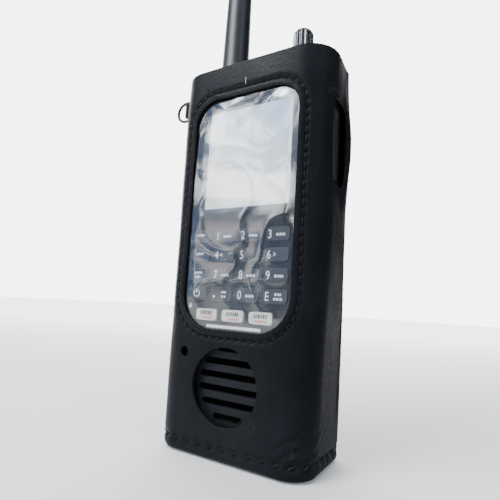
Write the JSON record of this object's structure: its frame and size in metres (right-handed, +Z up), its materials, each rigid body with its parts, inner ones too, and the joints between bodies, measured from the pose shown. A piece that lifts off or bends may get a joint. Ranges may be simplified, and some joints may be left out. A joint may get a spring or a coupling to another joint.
{
  "type": "police scanner",
  "caption": "Handheld radio scanner with display, keypad, tuning knob and rubber whip antenna, held in a leather carrying case with a clear window, belt loop and strap ring.",
  "frame": {"origin": "centre of the underside of the case's floor, on the plane the case stands on", "axes": "+Z up along the antenna, -Y is the side with the display and keys, +X towards the side with the port cover"},
  "size_m": [0.0774, 0.0427, 0.318],
  "materials": {
    "leather": "smooth black with a faint grain",
    "clear_film": "clear flexible sheet",
    "housing_plastic": "fine texture",
    "key_plastic": "satin",
    "pale_rubber": "matte",
    "black_rubber": "matte",
    "knob_plastic": "satin gloss",
    "dark_steel": "dark plated",
    "bright_steel": "bright plated",
    "lens": "clear hard plastic",
    "circuit_board": "solder mask",
    "screen": "liquid crystal panel",
    "cell": "sleeved can"
  },
  "bodies": {
    "case": {"case_wrap": "leather", "case_back": "leather", "case_floor": "leather", "window_film": "clear_film", "belt_loop": "leather", "ring_tab": "leather", "rivet_lower": "dark_steel", "rivet_upper": "dark_steel", "rivet_tab": "dark_steel"},
    "ring": {"strap_ring": "dark_steel"},
    "scanner": {"front_housing": "housing_plastic", "rear_housing": "housing_plastic", "battery_door": "housing_plastic", "main_board": "circuit_board", "keypad_mat": "black_rubber", "display_panel": "screen", "display_lens": "lens", "speaker": "dark_steel", "battery_cell_1": "cell", "battery_cell_2": "cell", "jack_panel": "housing_plastic", "usb_jack": "bright_steel", "phone_jack": "bright_steel", "screw_1": "dark_steel", "screw_2": "dark_steel", "screw_3": "dark_steel", "screw_4": "dark_steel", "encoder_bushing": "bright_steel", "antenna_socket": "bright_steel"},
    "encoder": {"encoder_shaft": "bright_steel"},
    "knob": {"tuning_knob": "knob_plastic"},
    "antenna": {"antenna_whip": "black_rubber"},
    "collar": {"antenna_collar": "dark_steel"},
    "cover": {"port_cover": "black_rubber"},
    "key_search": {"key_search": "key_plastic"},
    "key_1": {"key_1": "key_plastic"},
    "key_2": {"key_2": "key_plastic"},
    "key_3": {"key_3": "key_plastic"},
    "key_priority": {"key_priority": "key_plastic"},
    "key_4": {"key_4": "key_plastic"},
    "key_5": {"key_5": "key_plastic"},
    "key_6": {"key_6": "key_plastic"},
    "key_function": {"key_function": "key_plastic"},
    "key_7": {"key_7": "key_plastic"},
    "key_8": {"key_8": "key_plastic"},
    "key_9": {"key_9": "key_plastic"},
    "key_power": {"key_power": "key_plastic"},
    "key_point": {"key_point": "key_plastic"},
    "key_0": {"key_0": "key_plastic"},
    "key_enter": {"key_enter": "key_plastic"},
    "key_scan": {"key_scan": "pale_rubber"},
    "key_hold": {"key_hold": "pale_rubber"},
    "key_lockout": {"key_lockout": "pale_rubber"}
  },
  "joints": [
    {"name": "ring_swing", "type": "hinge", "parent": "case", "child": "ring", "pos_m": [-0.0362, -0.006, 0.141], "axis": [0, 0, 1], "range_deg": [-80, 80]},
    {"name": "scanner_draw", "type": "slide", "parent": "case", "child": "scanner", "axis": [0, 0, 1], "range_m": [0, 0.155]},
    {"name": "encoder_push", "type": "slide", "parent": "scanner", "child": "encoder", "axis": [0, 0, -1], "range_m": [0, 0.0006], "stiffness_N_per_m": 800},
    {"name": "knob_turn", "type": "hinge", "parent": "encoder", "child": "knob", "pos_m": [0.016, 0, 0.16], "axis": [0, 0, 1], "continuous": true},
    {"name": "antenna_lift", "type": "slide", "parent": "scanner", "child": "antenna", "axis": [0, 0, 1], "range_m": [0, 0.02]},
    {"name": "collar_turn", "type": "hinge", "parent": "antenna", "child": "collar", "pos_m": [-0.017, 0, 0.153], "axis": [0, 0, 1], "range_deg": [0, 90]},
    {"name": "cover_open", "type": "hinge", "parent": "scanner", "child": "cover", "pos_m": [0.0304, -0.0015, 0.1035], "axis": [0, 1, 0], "range_deg": [0, 90]},
    {"name": "key_search_press", "type": "slide", "parent": "scanner", "child": "key_search", "axis": [0, 1, 0], "range_m": [0, 0.0007], "stiffness_N_per_m": 400},
    {"name": "key_1_press", "type": "slide", "parent": "scanner", "child": "key_1", "axis": [0, 1, 0], "range_m": [0, 0.0007], "stiffness_N_per_m": 400},
    {"name": "key_2_press", "type": "slide", "parent": "scanner", "child": "key_2", "axis": [0, 1, 0], "range_m": [0, 0.0007], "stiffness_N_per_m": 400},
    {"name": "key_3_press", "type": "slide", "parent": "scanner", "child": "key_3", "axis": [0, 1, 0], "range_m": [0, 0.0007], "stiffness_N_per_m": 400},
    {"name": "key_priority_press", "type": "slide", "parent": "scanner", "child": "key_priority", "axis": [0, 1, 0], "range_m": [0, 0.0007], "stiffness_N_per_m": 400},
    {"name": "key_4_press", "type": "slide", "parent": "scanner", "child": "key_4", "axis": [0, 1, 0], "range_m": [0, 0.0007], "stiffness_N_per_m": 400},
    {"name": "key_5_press", "type": "slide", "parent": "scanner", "child": "key_5", "axis": [0, 1, 0], "range_m": [0, 0.0007], "stiffness_N_per_m": 400},
    {"name": "key_6_press", "type": "slide", "parent": "scanner", "child": "key_6", "axis": [0, 1, 0], "range_m": [0, 0.0007], "stiffness_N_per_m": 400},
    {"name": "key_function_press", "type": "slide", "parent": "scanner", "child": "key_function", "axis": [0, 1, 0], "range_m": [0, 0.0007], "stiffness_N_per_m": 400},
    {"name": "key_7_press", "type": "slide", "parent": "scanner", "child": "key_7", "axis": [0, 1, 0], "range_m": [0, 0.0007], "stiffness_N_per_m": 400},
    {"name": "key_8_press", "type": "slide", "parent": "scanner", "child": "key_8", "axis": [0, 1, 0], "range_m": [0, 0.0007], "stiffness_N_per_m": 400},
    {"name": "key_9_press", "type": "slide", "parent": "scanner", "child": "key_9", "axis": [0, 1, 0], "range_m": [0, 0.0007], "stiffness_N_per_m": 400},
    {"name": "key_power_press", "type": "slide", "parent": "scanner", "child": "key_power", "axis": [0, 1, 0], "range_m": [0, 0.0007], "stiffness_N_per_m": 400},
    {"name": "key_point_press", "type": "slide", "parent": "scanner", "child": "key_point", "axis": [0, 1, 0], "range_m": [0, 0.0007], "stiffness_N_per_m": 400},
    {"name": "key_0_press", "type": "slide", "parent": "scanner", "child": "key_0", "axis": [0, 1, 0], "range_m": [0, 0.0007], "stiffness_N_per_m": 400},
    {"name": "key_enter_press", "type": "slide", "parent": "scanner", "child": "key_enter", "axis": [0, 1, 0], "range_m": [0, 0.0007], "stiffness_N_per_m": 400},
    {"name": "key_scan_press", "type": "slide", "parent": "scanner", "child": "key_scan", "axis": [0, 1, 0], "range_m": [0, 0.0007], "stiffness_N_per_m": 400},
    {"name": "key_hold_press", "type": "slide", "parent": "scanner", "child": "key_hold", "axis": [0, 1, 0], "range_m": [0, 0.0007], "stiffness_N_per_m": 400},
    {"name": "key_lockout_press", "type": "slide", "parent": "scanner", "child": "key_lockout", "axis": [0, 1, 0], "range_m": [0, 0.0007], "stiffness_N_per_m": 400}
  ]
}
